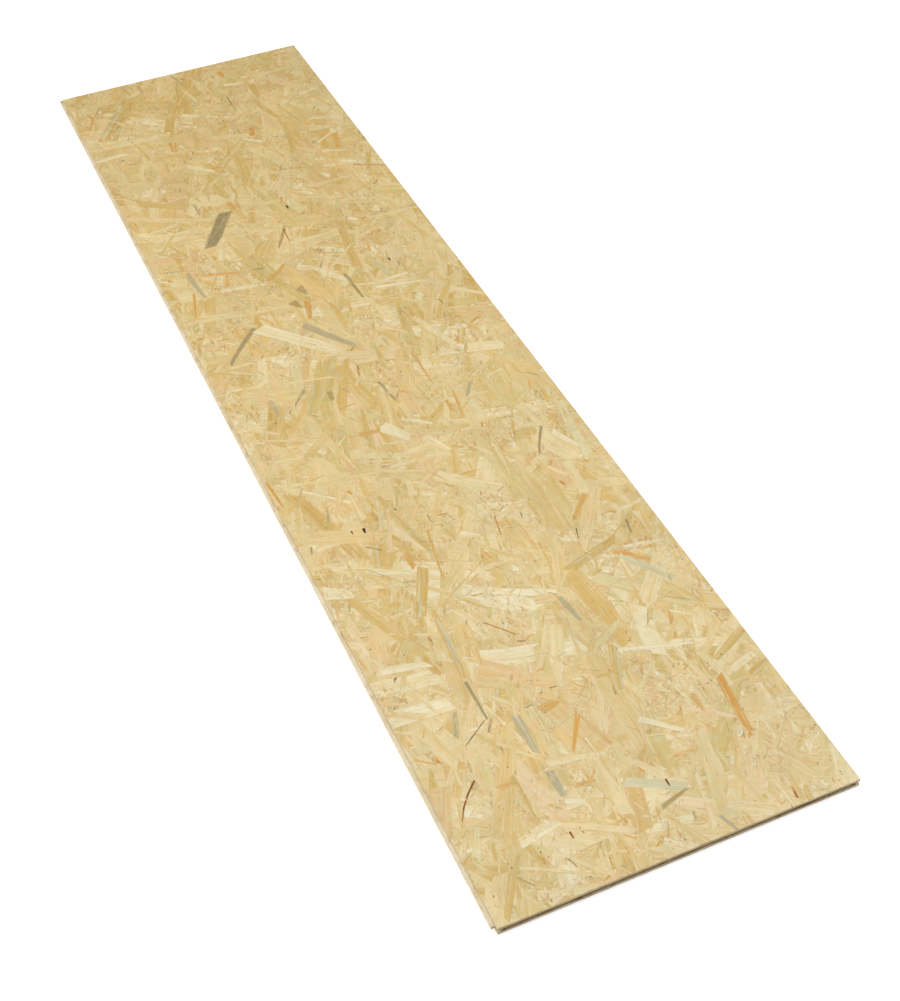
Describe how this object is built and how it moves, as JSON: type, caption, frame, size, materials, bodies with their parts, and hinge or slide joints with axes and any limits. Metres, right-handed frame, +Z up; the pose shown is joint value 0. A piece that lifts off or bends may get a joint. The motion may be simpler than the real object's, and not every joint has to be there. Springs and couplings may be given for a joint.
{
  "type": "tongue and groove osb panel",
  "caption": "Flat oriented strand board panel with a milled tongue on one long and one short edge and matching grooves on the opposite edges.",
  "frame": {"origin": "middle of the overall box's underside, tongues included", "axes": "+X across the width towards the grooved long edge, +Y along the length towards the tongued short edge, +Z up through the thickness"},
  "size_m": [0.5964, 2.4466, 0.015],
  "materials": {
    "strand_board": "unsanded pressed strand board, low gloss, pale straw flakes with darker flecks and milled edges"
  },
  "bodies": {
    "root": {"osb_panel": "strand_board"}
  },
  "joints": []
}
